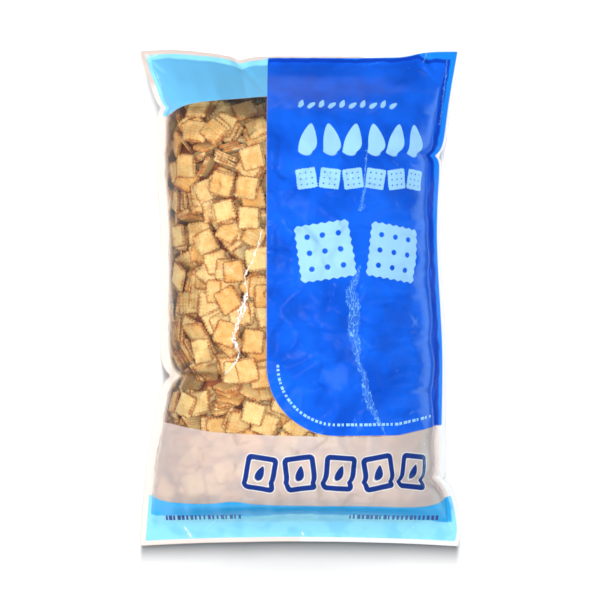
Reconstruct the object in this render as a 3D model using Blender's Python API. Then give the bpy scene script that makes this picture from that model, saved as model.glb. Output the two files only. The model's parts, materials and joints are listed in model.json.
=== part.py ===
"""A sealed clear pouch of square sesame crackers, lying on its back.

The pouch is two films sealed to each other all round, so the solid is made the same way:
one flat grid is shaped as the front film, a copy of it as the back film, and their rims are joined.
Units are metres. The origin is on the floor under the middle of the pouch, +Y runs to its top end,
and the shown front faces +Z.
"""

import math
import random

import bmesh
import bpy
from mathutils import Vector, kdtree, noise

MM = 0.001

# Driving dimensions of the filled pouch
PACK_LENGTH = 480 * MM
END_WIDTH = 310 * MM
WAIST_WIDTH = 285 * MM
CROWN_HEIGHT = 103 * MM
SEAL_THICKNESS = 1.0 * MM
SIDE_SEAL_WIDTH = 9 * MM
END_SEAL_WIDTH = 9 * MM

# Outline of the seal's outer edge seen from above, in millimetres from the middle.
# The full body draws the side edges in, so the ends flare out into ears.
LEFT_EDGE = (
    (-240, -155.5), (-165, -148.0), (-107, -138.5), (-50, -135.0), (65, -134.5),
    (130, -138.5), (165, -138.0), (200, -143.0), (219, -150.0), (240, -155.0),
)
RIGHT_EDGE = (
    (-240, 153.0), (-222, 155.5), (-190, 149.5), (-160, 141.0), (-50, 140.5),
    (55, 135.5), (120, 136.5), (150, 140.5), (190, 146.0), (240, 155.0),
)
TOP_EDGE = (
    (-155, 238.0), (-125, 239.8), (-96, 238.0), (-30, 234.4),
    (96, 234.5), (122, 239.2), (155, 240.0),
)
BOTTOM_MIDDLE = -234.8
BOTTOM_CORNER_DROP = 5.2

# Nicks where the edge buckles inwards: place along the edge, depth and reach, in millimetres
LEFT_NICKS = ((-74.5, 12.0, 9.0), (183.0, 6.0, 7.0))
RIGHT_NICKS = ((-173.0, 6.5, 6.0), (137.0, 6.5, 5.0))
TOP_NICKS = ((-59.0, 6.0, 13.0),)

# Height of the seal above the floor, and how far each corner ear bends from it
SIDE_SEAL_HEIGHT = 43 * MM
END_SEAL_HEIGHT = 31 * MM
END_SAG_POWER = 5
EAR_SIDE, EAR_END = 0.6, 0.8
EAR_LIFT = {("left", "top"): 5 * MM, ("right", "top"): -4 * MM,
            ("left", "bottom"): -8 * MM, ("right", "bottom"): -5 * MM}

# Front film's rise from seal to crown: distance in from the end seal in millimetres, share of the rise.
# The head space slopes like a tent, and the foot has a short skirt below the steep belly.
HEAD_RISE = ((0, 0.0), (14, 0.15), (38, 0.50), (58, 0.77), (84, 0.92), (125, 0.99), (170, 1.0))
FOOT_RISE = ((0, 0.0), (8, 0.05), (14, 0.13), (21, 0.38), (31, 0.70), (46, 0.87), (74, 0.96), (125, 1.0))

# The side wall leaves the seal almost upright, like an ellipse's end, and the back flattens on the floor
SIDE_FULLNESS = 2.5
SIDE_STEEPNESS = 0.56
BACK_FLATNESS = 1.75

# Unevenness of the filling and of the film
BULK_PITCH, BULK_SWELL = 75 * MM, 3.0 * MM
CRACKER_PITCH, CRACKER_TILT = 22 * MM, math.radians(15)
FACET_BLEND, FACET_POWER = 0.05, 5
PUCKER_PITCH, PUCKER_SHARE = 15 * MM, 0.55
SIDE_PUCKER_REACH, END_PUCKER_REACH = 20 * MM, 30 * MM
SEAL_WAVE_PITCH, SEAL_WAVE = 46 * MM, 2.0 * MM
CONTENTS_TOP, CONTENTS_BOTTOM = 186 * MM, -206 * MM
PRESS_SEED = 18
SEAL_LAYER, BULK_LAYER, PUCKER_LAYER, OTHER_SIDE = 0.0, 0.3, 0.5, 5.0

# Grid lines of one film, of which two at each side lie in the seal
CELLS_ACROSS, CELLS_ALONG = 40, 58
SEAL_CELLS = 2
WALL_CROWDING = 0.06
SHARP_ANGLE = math.radians(50)

FILM_COLOUR = (0.012, 0.11, 0.84, 1.0)
FILM_ROUGHNESS = 0.28


def clamp(value, low=0.0, high=1.0):
    return min(max(value, low), high)


def ease(value):
    """Smooth step from 0 to 1."""
    value = clamp(value)
    return value * value * (3 - 2 * value)


def curve_through(points, at):
    """Height at one place of the smooth curve through the points, which run left to right."""
    at = clamp(at, points[0][0], points[-1][0])
    last = len(points) - 1
    i = next(k for k in range(last) if at <= points[k + 1][0])

    def slope(k):
        before, after = points[max(k - 1, 0)], points[min(k + 1, last)]
        return (after[1] - before[1]) / (after[0] - before[0])

    (x0, y0), (x1, y1) = points[i], points[i + 1]
    width = x1 - x0
    t = (at - x0) / width
    start, end = slope(i) * width, slope(i + 1) * width
    return (y0 * (1 + 2 * t) * (1 - t) ** 2 + start * t * (1 - t) ** 2
            + y1 * t * t * (3 - 2 * t) + end * t * t * (t - 1))


def nicked(nicks, at):
    """How far the edge buckles inwards at a place along it, in millimetres."""
    return sum(depth * math.exp(-abs(at - place) / reach) for place, depth, reach in nicks)


def left_edge(y_mm):
    return (curve_through(LEFT_EDGE, y_mm) + nicked(LEFT_NICKS, y_mm)) * MM


def right_edge(y_mm):
    return (curve_through(RIGHT_EDGE, y_mm) - nicked(RIGHT_NICKS, y_mm)) * MM


def top_edge(x_mm):
    return (curve_through(TOP_EDGE, x_mm) - nicked(TOP_NICKS, x_mm)) * MM


def bottom_edge(x_mm):
    corner = x_mm * MM / (END_WIDTH / 2)
    return (BOTTOM_MIDDLE - BOTTOM_CORNER_DROP * corner * corner) * MM


def in_plan(across, along):
    """Place seen from above of the film point at these shares of the width and length."""
    x_flat = (across - 0.5) * END_WIDTH / MM
    y = bottom_edge(x_flat) + along * (top_edge(x_flat) - bottom_edge(x_flat))
    left, right = left_edge(y / MM), right_edge(y / MM)
    return left + across * (right - left), y


def seal_height(across, along, x, y):
    """Height of the film's rim, carried inwards: high at the sides, low at the ends, with soft waves."""
    towards_end = abs(2 * along - 1) ** END_SAG_POWER
    height = SIDE_SEAL_HEIGHT + (END_SEAL_HEIGHT - SIDE_SEAL_HEIGHT) * towards_end
    for (side, end), lift in EAR_LIFT.items():
        near_side = 1 - across if side == "left" else across
        near_end = along if end == "top" else 1 - along
        height += lift * ease((near_side - EAR_SIDE) / (1 - EAR_SIDE)) * ease((near_end - EAR_END) / (1 - EAR_END))
    return height + SEAL_WAVE * noise.noise(Vector((x, y, SEAL_LAYER)) / SEAL_WAVE_PITCH)


def press_marks():
    """One random tilt for each cracker that presses on a film, and a tree of their places."""
    rng = random.Random(PRESS_SEED)
    columns, rows = round(END_WIDTH / CRACKER_PITCH), round(PACK_LENGTH / CRACKER_PITCH)
    tree = kdtree.KDTree(columns * rows)
    tilts = []
    for column in range(columns):
        for row in range(rows):
            place = Vector(((column + rng.random() - columns / 2) * CRACKER_PITCH,
                            (row + rng.random() - rows / 2) * CRACKER_PITCH, 0.0))
            tree.insert(place, len(tilts))
            turn = rng.uniform(0, math.tau)
            tilts.append(math.tan(CRACKER_TILT) * rng.random() * Vector((math.cos(turn), math.sin(turn), 0)))
    tree.balance()
    return tree, tilts


def pressed(x, y, tree, tilts):
    """Relief of the crackers that press on the film: flat facets that blend where two crackers meet."""
    found = tree.find_n(Vector((x, y, 0.0)), 2)
    weights = [1 / (distance + FACET_BLEND * CRACKER_PITCH) ** FACET_POWER for _, _, distance in found]
    relief = sum(weight * tilts[index].dot(Vector((x, y, 0.0)) - place)
                 for weight, (place, index, _) in zip(weights, found))
    filled = ease((CONTENTS_TOP - y) / CRACKER_PITCH) * ease((y - CONTENTS_BOTTOM) / CRACKER_PITCH)
    return filled * relief / sum(weights)


def body_share(across, along, y, left, right):
    """How full the body is here, from 0 at the seal line to 1 on the crown."""
    width = right - left
    from_side = min(across, 1 - across) * width - SIDE_SEAL_WIDTH
    if from_side <= 0:
        return 0.0
    half = width / 2 - SIDE_SEAL_WIDTH
    sideways = (1 - (1 - from_side / half) ** SIDE_FULLNESS) ** SIDE_STEEPNESS
    from_top = (1 - along) * PACK_LENGTH - END_SEAL_WIDTH
    from_bottom = along * PACK_LENGTH - END_SEAL_WIDTH
    if min(from_top, from_bottom) <= 0:
        return 0.0
    endways = curve_through(HEAD_RISE, from_top / MM) * curve_through(FOOT_RISE, from_bottom / MM)
    return sideways * endways * puckers(across, along, y, from_side, min(from_top, from_bottom))


def puckers(across, along, y, from_side, from_end):
    """Folds that run in from the seals, where the film is gathered: a factor on the body's rise."""
    side_fold = noise.noise(Vector((round(across) * OTHER_SIDE, y / PUCKER_PITCH, SEAL_LAYER)))
    end_fold = noise.noise(Vector((across * END_WIDTH / PUCKER_PITCH, round(along) * OTHER_SIDE, PUCKER_LAYER)))
    return (1 + PUCKER_SHARE * side_fold * math.exp(-from_side / SIDE_PUCKER_REACH)
            + PUCKER_SHARE * end_fold * math.exp(-from_end / END_PUCKER_REACH))


def crowded(share, cells, seal_share):
    """Spaces the grid lines so that the first and last few lie in the seal, and the steep walls have more."""
    edge = SEAL_CELLS / cells
    if share < edge:
        return seal_share * share / edge
    if share > 1 - edge:
        return 1 - seal_share * (1 - share) / edge
    inner = (share - edge) / (1 - 2 * edge)
    inner -= WALL_CROWDING * math.sin(math.tau * inner)
    return seal_share + (1 - 2 * seal_share) * inner


def shaped(vertex, front, tree, tilts):
    """Moves one vertex of the flat grid to its place on the front or the back film."""
    across = crowded(vertex.co.x + 0.5, CELLS_ACROSS, SIDE_SEAL_WIDTH / WAIST_WIDTH)
    along = crowded(vertex.co.y + 0.5, CELLS_ALONG, END_SEAL_WIDTH / PACK_LENGTH)
    x, y = in_plan(across, along)
    rim = seal_height(across, along, x, y)
    fullness = body_share(across, along, y, left_edge(y / MM), right_edge(y / MM))
    if not front:
        sunk = 1 - clamp(BACK_FLATNESS * fullness)
        return Vector((x, y, rim * sunk * sunk * (3 - 2 * sunk) if sunk < 1 else rim))
    swell = BULK_SWELL * noise.noise(Vector((x, y, BULK_LAYER)) / BULK_PITCH) + pressed(x, y, tree, tilts)
    crown = CROWN_HEIGHT + swell - SEAL_THICKNESS
    return Vector((x, y, rim + (crown - rim) * fullness + SEAL_THICKNESS))


def make_pouch(collection):
    tree, tilts = press_marks()
    mesh = bmesh.new()
    bmesh.ops.create_grid(mesh, x_segments=CELLS_ACROSS, y_segments=CELLS_ALONG, size=0.5)
    back = bmesh.ops.duplicate(mesh, geom=mesh.verts[:] + mesh.edges[:] + mesh.faces[:])["geom"]
    back_vertices = {item for item in back if isinstance(item, bmesh.types.BMVert)}
    for vertex in mesh.verts:
        vertex.co = shaped(vertex, vertex not in back_vertices, tree, tilts)
    rims = [edge for edge in mesh.edges if edge.is_boundary]
    bmesh.ops.bridge_loops(mesh, edges=rims)
    bmesh.ops.recalc_face_normals(mesh, faces=mesh.faces[:])

    data = bpy.data.meshes.new("cracker_pouch")
    mesh.to_mesh(data)
    mesh.free()
    data.shade_smooth()
    data.set_sharp_from_angle(angle=SHARP_ANGLE)
    pouch = bpy.data.objects.new("cracker_pouch", data)
    collection.objects.link(pouch)
    return pouch


def film_material():
    material = bpy.data.materials.new("printed_film")
    material.use_nodes = True
    surface = material.node_tree.nodes["Principled BSDF"]
    surface.inputs["Base Color"].default_value = FILM_COLOUR
    surface.inputs["Roughness"].default_value = FILM_ROUGHNESS
    surface.inputs["Metallic"].default_value = 0.0
    return material


def main():
    for thing in list(bpy.data.objects):
        bpy.data.objects.remove(thing, do_unlink=True)
    collection = bpy.data.collections.new("sesame_cracker_pouch")
    bpy.context.scene.collection.children.link(collection)
    pouch = make_pouch(collection)
    pouch.data.materials.append(film_material())


if __name__ == "__main__":
    main()
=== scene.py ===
"""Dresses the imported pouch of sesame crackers: printed clear film round a heap of loose square crackers.

Both sheets of film follow the same rules as the solid pouch, on a finer grid and with the film's small folds.
The crackers are dropped by a rigid-body simulation against the inside of each sheet, so that they lie on the
film, on edge and across each other as they do in a full pouch.
"""

import itertools
import json
import math
import random

import bmesh
import bpy
import numpy as np
from bpy.props import FloatProperty, IntProperty, PointerProperty, StringProperty
from mathutils import Euler, Matrix, Vector, kdtree, noise
from mathutils.bvhtree import BVHTree

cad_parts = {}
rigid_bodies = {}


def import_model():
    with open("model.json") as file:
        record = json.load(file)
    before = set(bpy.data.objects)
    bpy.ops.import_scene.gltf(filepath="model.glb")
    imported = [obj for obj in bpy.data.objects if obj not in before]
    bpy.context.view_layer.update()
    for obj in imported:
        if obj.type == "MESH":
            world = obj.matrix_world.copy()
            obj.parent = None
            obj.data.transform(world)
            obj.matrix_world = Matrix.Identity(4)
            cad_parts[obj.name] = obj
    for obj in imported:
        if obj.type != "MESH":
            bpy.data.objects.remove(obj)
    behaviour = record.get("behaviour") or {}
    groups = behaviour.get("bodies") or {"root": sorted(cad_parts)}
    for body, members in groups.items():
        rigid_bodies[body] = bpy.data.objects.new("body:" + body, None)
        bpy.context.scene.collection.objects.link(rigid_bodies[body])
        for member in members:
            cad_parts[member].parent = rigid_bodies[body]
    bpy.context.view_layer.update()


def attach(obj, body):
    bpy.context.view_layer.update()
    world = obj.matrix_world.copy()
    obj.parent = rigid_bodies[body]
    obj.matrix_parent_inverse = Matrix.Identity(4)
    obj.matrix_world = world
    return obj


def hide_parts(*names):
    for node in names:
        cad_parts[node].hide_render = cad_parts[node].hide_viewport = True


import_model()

bl_info = {
    "name": "Cracker pouch",
    "version": (1, 0, 0),
    "blender": (4, 5, 0),
    "location": "3D View > Sidebar > Pouch",
    "description": "Builds the film, the crackers and the stage of a filled cracker pouch",
    "category": "Add Mesh",
}

MM = 0.001

# The pouch's driving dimensions, the same as those of its solid
PACK_LENGTH = 480 * MM
END_WIDTH = 310 * MM
WAIST_WIDTH = 285 * MM
CROWN_HEIGHT = 103 * MM
SIDE_SEAL_WIDTH = 9 * MM
END_SEAL_WIDTH = 9 * MM

# Outline of the seal's outer edge seen from above, in millimetres from the middle
LEFT_EDGE = (
    (-240, -155.5), (-165, -148.0), (-107, -138.5), (-50, -135.0), (65, -134.5),
    (130, -138.5), (165, -138.0), (200, -143.0), (219, -150.0), (240, -155.0),
)
RIGHT_EDGE = (
    (-240, 153.0), (-222, 155.5), (-190, 149.5), (-160, 141.0), (-50, 140.5),
    (55, 135.5), (120, 136.5), (150, 140.5), (190, 146.0), (240, 155.0),
)
TOP_EDGE = (
    (-155, 238.0), (-125, 239.8), (-96, 238.0), (-30, 234.4),
    (96, 234.5), (122, 239.2), (155, 240.0),
)
BOTTOM_MIDDLE = -234.8
BOTTOM_CORNER_DROP = 5.2

# Nicks where the edge buckles inwards: place along the edge, depth and reach, in millimetres
LEFT_NICKS = ((-74.5, 12.0, 9.0), (183.0, 6.0, 7.0))
RIGHT_NICKS = ((-173.0, 6.5, 6.0), (137.0, 6.5, 5.0))
TOP_NICKS = ((-59.0, 6.0, 13.0),)

# Height of the seal above the floor, and how far each corner ear bends from it
SIDE_SEAL_HEIGHT = 43 * MM
END_SEAL_HEIGHT = 31 * MM
END_SAG_POWER = 5
EAR_SIDE, EAR_END = 0.6, 0.8
EAR_LIFT = {("left", "top"): 5 * MM, ("right", "top"): -4 * MM,
            ("left", "bottom"): -8 * MM, ("right", "bottom"): -5 * MM}

# Front film's rise from seal to crown: distance in from the end seal in millimetres, share of the rise
HEAD_RISE = ((0, 0.0), (14, 0.15), (38, 0.50), (58, 0.77), (84, 0.92), (125, 0.99), (170, 1.0))
FOOT_RISE = ((0, 0.0), (8, 0.05), (14, 0.13), (21, 0.38), (31, 0.70), (46, 0.87), (74, 0.96), (125, 1.0))
SIDE_FULLNESS = 2.5
RIGHT_TUCK, TUCK_WAVE, TUCK_PITCH = 3.0 * MM, 2.2 * MM, 26 * MM
OVERHANG, OVERHANG_REACH = 2.0 * MM, 12 * MM
SIDE_STEEPNESS = 0.56
BACK_FLATNESS = 1.75

# Unevenness of the filling and of the film
BULK_PITCH, BULK_SWELL = 75 * MM, 3.0 * MM
CRACKER_PITCH, CRACKER_TILT = 22 * MM, math.radians(15)
FACET_BLEND, FACET_POWER = 0.05, 5
PUCKER_PITCH, SIDE_PUCKERS, END_PUCKERS = 15 * MM, 0.45, 0.25
SIDE_PUCKER_REACH, END_PUCKER_REACH = 20 * MM, 30 * MM
SEAL_WAVE_PITCH, SEAL_WAVE = 46 * MM, 2.0 * MM
CONTENTS_TOP, CONTENTS_BOTTOM = 186 * MM, -206 * MM
PRESS_SEED = 18
SEAL_LAYER, BULK_LAYER, PUCKER_LAYER, OTHER_SIDE = 0.0, 0.3, 0.5, 5.0

# Small folds that only the film has: start, direction, depth, half width and reach, in millimetres
FOLDS = (
    ((-62, 229), (0.66, -0.75), 3.2, 3.0, 30),
    ((-150, 232), (0.75, -0.66), 1.6, 2.5, 14),
    ((-146, 214), (0.8, -0.6), 1.2, 2.5, 12),
    ((121, 238), (0.40, -0.92), 4.0, 2.6, 12),
    ((118, 220), (0.68, -0.73), 3.0, 2.4, 14),
    ((110, 214), (-0.84, -0.54), 0.8, 2.5, 12),
    ((-121, -75), (1.0, 0.12), 4.0, 5.0, 16),
    ((-131, 183), (0.9, -0.42), 3.0, 4.5, 14),
    ((131, 137), (-1.0, -0.25), 2.6, 4.5, 16),
    ((141, -173), (-0.95, 0.3), 2.6, 4.0, 16),
)
# Creases pressed into the film, stress-whitened and with painted glints along them: places and half widths in
# millimetres
CREASES = (
    ((-36, 63.5, 0.1), (-39, 50, 0.3), (-45, 34, 0.5), (-52, 21, 0.2), (-49.5, 6, 0.3), (-53, -7, 3.2),
     (-56.5, -17, 3.0), (-60, -28, 1.6), (-63, -39, 2.4), (-57, -51, 1.0), (-60, -60, 0.4), (-70, -71, 0.1)),
    ((63, 138, 0.2), (60.5, 113, 0.9), (60.5, 101, 1.0), (57, 84, 2.4)),
    ((56, 30, 0.6), (47, 5, 4.6), (51.5, -9, 5.6), (49.5, -32, 4.6), (53, -44, 4.2), (54, -60, 1.8),
     (60.5, -71, 2.2), (61.5, -86, 3.8), (66.5, -102, 3.2), (74.5, -116, 1.4), (79.5, -127, 0.4)),
    ((-112, -220, -0.7), (-107, -227, 1.2), (-104, -232, -0.7)),
    ((-97, -229, -0.8), (-79, -211, -0.8)),
    ((1, -221, -0.7), (3, -228, 0.4)),
    ((116, -214, -0.9), (103, -227, -0.8)),
    ((139, -206, -0.9), (148, -224, -0.7)),
    ((118, -138, -0.8), (121, -150, -0.5), (118, -158, -0.8)),
    ((-150, 231, -0.8), (-141, 233, -0.2), (-133, 236, -0.8)),
    ((-144, 226, -0.8), (-137, 214, -0.7), (-133, 203, -0.8)),
    ((122, 236, 0.0), (119, 228, 0.5)),
    ((142, 230, 0.0), (140, 209, 0.2), (136.5, 184, 0.2), (134.5, 167, 0.1)),
    ((48, 219, -0.9), (70, 226, -0.6), (88, 231, -0.9)),
    ((98, 217, -0.9), (106, 223, -0.8)),
)

# Print, in millimetres as seen from the front. RIGHT_FIN_SHOWN, SKIRT, FIELD_SEAL_SHOWN and FIELD_EAR also place the
# seals' painted backlight
LEFT_PRINT_INSET, BOTTOM_PRINT_INSET = 5.5, 4.8
RIGHT_PRINT_INSET = ((-240, 4.0), (60, 4.0), (130, 2.5), (240, 2.5))
RIGHT_FROST_INSET, RIGHT_FIN_SHOWN = 6.5, 7.5
TOP_PRINT_INSET = ((-156, 4.8), (-120, 4.4), (-36, 3.6), (-31, 2.0), (110, 2.0), (156, 1.6))
SKIRT = ((-156, 33), (-130, 30), (-100, 29), (-60, 28), (0, 30), (60, 29), (100, 27), (125, 24), (156, 22))
FIELD_SEAL_SHOWN, FIELD_EAR = 2.5, 112.0
FIELD_LEFT, FIELD_BOTTOM, FIELD_CORNER = -31.2, -129.0, 66.0
ROW_INSET = 10.5
TOP_BAND_EDGE = ((-156, 176.0), (-132, 174.5), (-124.0, 176.0), (-117, 180.6), (-103.4, 185.0), (-73.0, 188.2),
                 (-31.2, 191.6), (150, 193.5))
FROST_TOP = ((-150, -117.5), (-127.0, -118.6), (-103.6, -122.4), (-76.8, -126.0), (0, -128.9), (90, -129.2),
             (126.0, -122.6), (150, -121.0))
FROST_BOTTOM = ((-156, -188.5), (-145, -189.0), (-132.0, -193.0), (-111.0, -194.4), (-85.4, -194.2),
                (-64.6, -191.8), (-38.0, -194.4), (0, -195.4), (63, -196.4), (114, -198.4), (131.5, -196.0),
                (142, -191.0), (156, -188.5))
BACK_FIELD_LEFT = -92.0


class FilmSettings(bpy.types.PropertyGroup):
    cells_across: IntProperty(name="Cells across", description="Grid cells of the front film across the pouch",
                              default=232, min=20)
    cells_along: IntProperty(name="Cells along", description="Grid cells of the front film along the pouch",
                             default=360, min=30)
    seal_gap: FloatProperty(name="Seal gap", description="Gap between the sealed films",
                            default=0.4 * MM, unit="LENGTH", precision=5)
    drape_depth: FloatProperty(name="Drape depth", description="How far the film dips between two crackers",
                               default=0.45 * MM, unit="LENGTH", precision=5)
    field: StringProperty(name="Field", description="Main field of print, sRGB", default="#044ECA")
    # Uneven thin ink at random, and painted sheen: the same colour lightens the right wall, standing in for a
    # reflection
    field_thin_and_painted_sheen: StringProperty(name="Thin field", description="Main field where its ink is thinner, sRGB",
                               default="#0B62EA")
    # Painted backlight: the lighter colour on the seals stands in for light shining through them from the floor
    field_fin_painted_backlight: StringProperty(name="Field on the seal", description="Main print where both sheets are sealed, sRGB",
                              default="#1282F4")
    # Double film and painted shade: the darker colour beside the right seal stands in for the shade under the wall
    field_tuck_and_painted_shade: StringProperty(name="Field in the tuck", description="Main print beside the seal, where film lies double",
                               default="#0236B0")
    band: StringProperty(name="Bands", description="Print of the end bands, sRGB", default="#66B7E6")
    # Painted shade: the band over the lower half is darker, standing in for the shade of the contents
    band_foot_painted_shade: StringProperty(name="Foot band", description="Print of the band at the foot, sRGB", default="#30AAEE")
    # Painted backlight: the lighter band on the seals and the skirt stands in for light shining through from the floor
    band_fin_painted_backlight: StringProperty(name="Bands on the seal", description="End bands where both sheets are sealed, sRGB",
                             default="#8FDDF8")
    frost: StringProperty(name="Frost", description="White ink of the frosted band, sRGB", default="#F2E5E3")
    # Painted light: the frost is lighter beside the seals, where the steep walls get less light
    frost_seam_painted_light: StringProperty(name="Frost at the seals", description="Frosted band creased beside a seal, sRGB",
                               default="#FBF3EE")
    pale: StringProperty(name="Pale marks", description="Large marks on the field, sRGB", default="#97CEF6")
    navy: StringProperty(name="Dark marks", description="Marks on the frosted band, sRGB", default="#1B3C93")
    haze: StringProperty(name="Haze", description="Milkiness of the clear film, sRGB", default="#F8ECE5")
    haze_right: StringProperty(name="Haze on the right", description="Milkiness of the right margin, sRGB",
                               default="#F4F8FA")
    haze_ear: StringProperty(name="Haze of the left ear", description="Clear film creased and sealed at the top, sRGB",
                             default="#E2D1C8")
    cut: StringProperty(name="Cut edge", description="Thin line along the cut edge of the film, sRGB",
                        default="#DFD3CC")


class CrackerSettings(bpy.types.PropertyGroup):
    side: FloatProperty(name="Side", description="Side of a square cracker", default=24.5 * MM, unit="LENGTH")
    thickness: FloatProperty(name="Thickness", description="Thickness of a cracker", default=3.3 * MM,
                             unit="LENGTH")
    ribs: IntProperty(name="Ribs", description="Ribs across a cracker, which end in teeth", default=7, min=3)
    heap_seed: IntProperty(name="Heap", description="Seed of the heap's random draws", default=5)
    shown_depth: FloatProperty(name="Shown depth", description="How far below the film crackers are kept",
                               default=42 * MM, unit="LENGTH")
    heart_depth: FloatProperty(name="Heart depth", description="How far below the film the heap's heart lies",
                               default=34 * MM, unit="LENGTH")
    face: StringProperty(name="Face", description="Palest part of a face, sRGB", default="#EBD496")
    baked: StringProperty(name="Baked", description="Well baked face, sRGB", default="#DEA85C")
    rim: StringProperty(name="Rim", description="Browned rim, sRGB", default="#B2602E")
    # Painted shade: the heart's colour stands in for crackers lost in shade
    heart_painted_shade: StringProperty(name="Heart", description="Dim middle of the heap, sRGB", default="#84482E")


class StageSettings(bpy.types.PropertyGroup):
    distance: FloatProperty(name="Camera height", description="Height of the camera above the seals",
                            default=2.2, unit="LENGTH")
    seen_width: FloatProperty(name="Seen width", description="Width that the frame takes in at the seals",
                              default=576 * MM, unit="LENGTH")
    seen_middle: FloatProperty(name="Seen middle", description="Place along the pouch at the frame's middle",
                               default=-1.7 * MM, unit="LENGTH")
    front_power: FloatProperty(name="Front lights", description="Power of each polarised light above the pouch",
                               default=18.3, unit="POWER")
    side_power: FloatProperty(name="Side light", description="Power of the soft light on the left of the pouch",
                              default=100.0, unit="POWER")
    sheen_power: FloatProperty(name="Sheen light", description="Power of the strip that the right side reflects",
                               default=1.5, unit="POWER")
    spark_power: FloatProperty(name="Spark light", description="Power of the small light that creases reflect",
                               default=1.3, unit="POWER")
    strip_power: FloatProperty(name="Floor light", description="Power of the strip that lights only the floor",
                               default=1700.0, unit="POWER")
    horizon: FloatProperty(name="Horizon", description="Brightness of the backdrop where it meets the floor",
                           default=0.84, min=0, max=1)
    fill_power: FloatProperty(name="Floor fill", description="Power of each light on the floor beside the pouch",
                              default=0.8, unit="POWER")
    sheen_tint: StringProperty(name="Reflected tint", description="Colour of what the film reflects, sRGB",
                               default="#C6FBFF")
    sky: FloatProperty(name="Surround", description="Strength of the light from all round", default=0.60)
    walls: FloatProperty(name="Walls", description="Brightness of the walls that the film reflects", default=1.9)


def hex_colour(text):
    """Linear RGBA of an sRGB hex value."""
    def linear(value):
        return value / 12.92 if value <= 0.04045 else ((value + 0.055) / 1.055) ** 2.4
    return tuple(linear(int(text[i:i + 2], 16) / 255) for i in (1, 3, 5)) + (1.0,)


def clamp(value, low=0.0, high=1.0):
    return min(max(value, low), high)


def ease(value):
    """Smooth step from 0 to 1."""
    value = clamp(value)
    return value * value * (3 - 2 * value)


def curve_through(points, at):
    """Height at one place of the smooth curve through the points, which run left to right."""
    at = clamp(at, points[0][0], points[-1][0])
    last = len(points) - 1
    i = next(k for k in range(last) if at <= points[k + 1][0])

    def slope(k):
        before, after = points[max(k - 1, 0)], points[min(k + 1, last)]
        return (after[1] - before[1]) / (after[0] - before[0])

    (x0, y0), (x1, y1) = points[i], points[i + 1]
    width = x1 - x0
    t = (at - x0) / width
    start, end = slope(i) * width, slope(i + 1) * width
    return (y0 * (1 + 2 * t) * (1 - t) ** 2 + start * t * (1 - t) ** 2
            + y1 * t * t * (3 - 2 * t) + end * t * t * (t - 1))


def nicked(nicks, at):
    """How far the edge buckles inwards at a place along it, in millimetres."""
    return sum(depth * math.exp(-abs(at - place) / reach) for place, depth, reach in nicks)


def left_edge(y_mm):
    return (curve_through(LEFT_EDGE, y_mm) + nicked(LEFT_NICKS, y_mm)) * MM


def right_edge(y_mm):
    return (curve_through(RIGHT_EDGE, y_mm) - nicked(RIGHT_NICKS, y_mm)) * MM


def top_edge(x_mm):
    return (curve_through(TOP_EDGE, x_mm) - nicked(TOP_NICKS, x_mm)) * MM


def bottom_edge(x_mm):
    corner = x_mm * MM / (END_WIDTH / 2)
    return (BOTTOM_MIDDLE - BOTTOM_CORNER_DROP * corner * corner) * MM


def in_plan(across, along):
    """Place seen from above of the film point at these shares, and the pouch's width there."""
    x_flat = (across - 0.5) * END_WIDTH / MM
    y = bottom_edge(x_flat) + along * (top_edge(x_flat) - bottom_edge(x_flat))
    left, right = left_edge(y / MM), right_edge(y / MM)
    return left + across * (right - left), y, right - left


def seal_height(across, along, x, y):
    """Height of the film's rim, carried inwards: high at the sides, low at the ends, with soft waves."""
    towards_end = abs(2 * along - 1) ** END_SAG_POWER
    height = SIDE_SEAL_HEIGHT + (END_SEAL_HEIGHT - SIDE_SEAL_HEIGHT) * towards_end
    for (side, end), lift in EAR_LIFT.items():
        near_side = 1 - across if side == "left" else across
        near_end = along if end == "top" else 1 - along
        height += lift * ease((near_side - EAR_SIDE) / (1 - EAR_SIDE)) * ease((near_end - EAR_END) / (1 - EAR_END))
    return height + SEAL_WAVE * noise.noise(Vector((x, y, SEAL_LAYER)) / SEAL_WAVE_PITCH)


def press_marks():
    """One random tilt for each cracker that presses on a film, and a tree of their places."""
    rng = random.Random(PRESS_SEED)
    columns, rows = round(END_WIDTH / CRACKER_PITCH), round(PACK_LENGTH / CRACKER_PITCH)
    tree = kdtree.KDTree(columns * rows)
    tilts = []
    for column in range(columns):
        for row in range(rows):
            place = Vector(((column + rng.random() - columns / 2) * CRACKER_PITCH,
                            (row + rng.random() - rows / 2) * CRACKER_PITCH, 0.0))
            tree.insert(place, len(tilts))
            turn = rng.uniform(0, math.tau)
            tilts.append(math.tan(CRACKER_TILT) * rng.random() * Vector((math.cos(turn), math.sin(turn), 0)))
    tree.balance()
    return tree, tilts


def pressed(x, y, tree, tilts):
    """Relief of the crackers that press on the film: flat facets that blend where two crackers meet."""
    found = tree.find_n(Vector((x, y, 0.0)), 2)
    weights = [1 / (distance + FACET_BLEND * CRACKER_PITCH) ** FACET_POWER for _, _, distance in found]
    relief = sum(weight * tilts[index].dot(Vector((x, y, 0.0)) - place)
                 for weight, (place, index, _) in zip(weights, found))
    filled = ease((CONTENTS_TOP - y) / CRACKER_PITCH) * ease((y - CONTENTS_BOTTOM) / CRACKER_PITCH)
    return filled * relief / sum(weights)


def puckers(across, along, y, from_side, from_end):
    """Folds that run in from the seals, where the film is gathered: a factor on the body's rise."""
    side_fold = noise.noise(Vector((round(across) * OTHER_SIDE, y / PUCKER_PITCH, SEAL_LAYER)))
    end_fold = noise.noise(Vector((across * END_WIDTH / PUCKER_PITCH, round(along) * OTHER_SIDE, PUCKER_LAYER)))
    return (1 + SIDE_PUCKERS * side_fold * math.exp(-from_side / SIDE_PUCKER_REACH)
            + END_PUCKERS * end_fold * math.exp(-from_end / END_PUCKER_REACH))


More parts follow.
